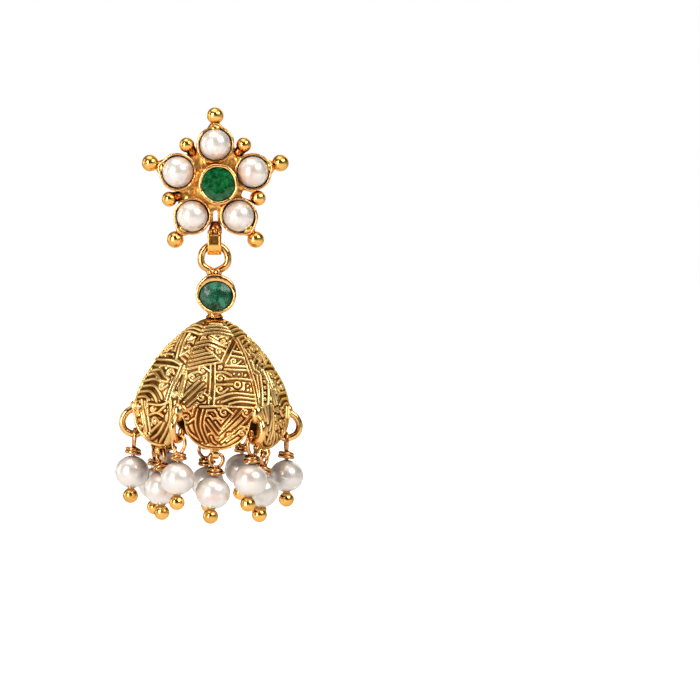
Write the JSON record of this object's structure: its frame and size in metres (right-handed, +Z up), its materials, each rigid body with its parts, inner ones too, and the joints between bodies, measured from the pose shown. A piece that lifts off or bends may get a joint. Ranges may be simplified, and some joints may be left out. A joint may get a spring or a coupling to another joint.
{
  "type": "jhumka earring",
  "caption": "Drop earring: a star stud of round pearls about a green stone, a bezel-set green stone, and an engraved petalled bell fringed with pearl drops.",
  "frame": {"origin": "where the ear post meets the middle of the star's flat back", "axes": "+Z up along the hanging earring, front towards -Y, +X to the right seen from the front"},
  "size_m": [0.0226, 0.0216, 0.0496],
  "materials": {
    "setting_gold": "polished yellow gold",
    "bell_gold": "antique engraved gold, dark in the grooves",
    "wire_gold": "copper-toned gold wire",
    "pearl": "nacre lustre",
    "star_emerald": "faceted",
    "drop_emerald": "low faceted, cloudy"
  },
  "bodies": {
    "stud": {"star_setting": "setting_gold", "star_pearl_1": "pearl", "star_pearl_2": "pearl", "star_pearl_3": "pearl", "star_pearl_4": "pearl", "star_pearl_5": "pearl", "star_emerald": "star_emerald", "ear_post": "setting_gold"},
    "pendant": {"drop_setting": "setting_gold", "drop_emerald": "drop_emerald", "bell_dome": "bell_gold", "notch_drop_1_headpin": "wire_gold", "notch_drop_1_pearl": "pearl", "notch_drop_2_headpin": "wire_gold", "notch_drop_2_pearl": "pearl", "notch_drop_3_headpin": "wire_gold", "notch_drop_3_pearl": "pearl", "notch_drop_4_headpin": "wire_gold", "notch_drop_4_pearl": "pearl", "notch_drop_5_headpin": "wire_gold", "notch_drop_5_pearl": "pearl", "notch_drop_6_headpin": "wire_gold", "notch_drop_6_pearl": "pearl", "tip_drop_1_headpin": "wire_gold", "tip_drop_1_pearl": "pearl", "tip_drop_2_headpin": "wire_gold", "tip_drop_2_pearl": "pearl", "tip_drop_3_headpin": "wire_gold", "tip_drop_3_pearl": "pearl", "tip_drop_4_headpin": "wire_gold", "tip_drop_4_pearl": "pearl", "tip_drop_5_headpin": "wire_gold", "tip_drop_5_pearl": "pearl", "tip_drop_6_headpin": "wire_gold", "tip_drop_6_pearl": "pearl"}
  },
  "joints": [
    {"name": "pendant_swing", "type": "hinge", "parent": "stud", "child": "pendant", "pos_m": [-0.00012, -0.00125, -0.00726], "axis": [1, 0, 0], "range_deg": [-60, 60]}
  ]
}
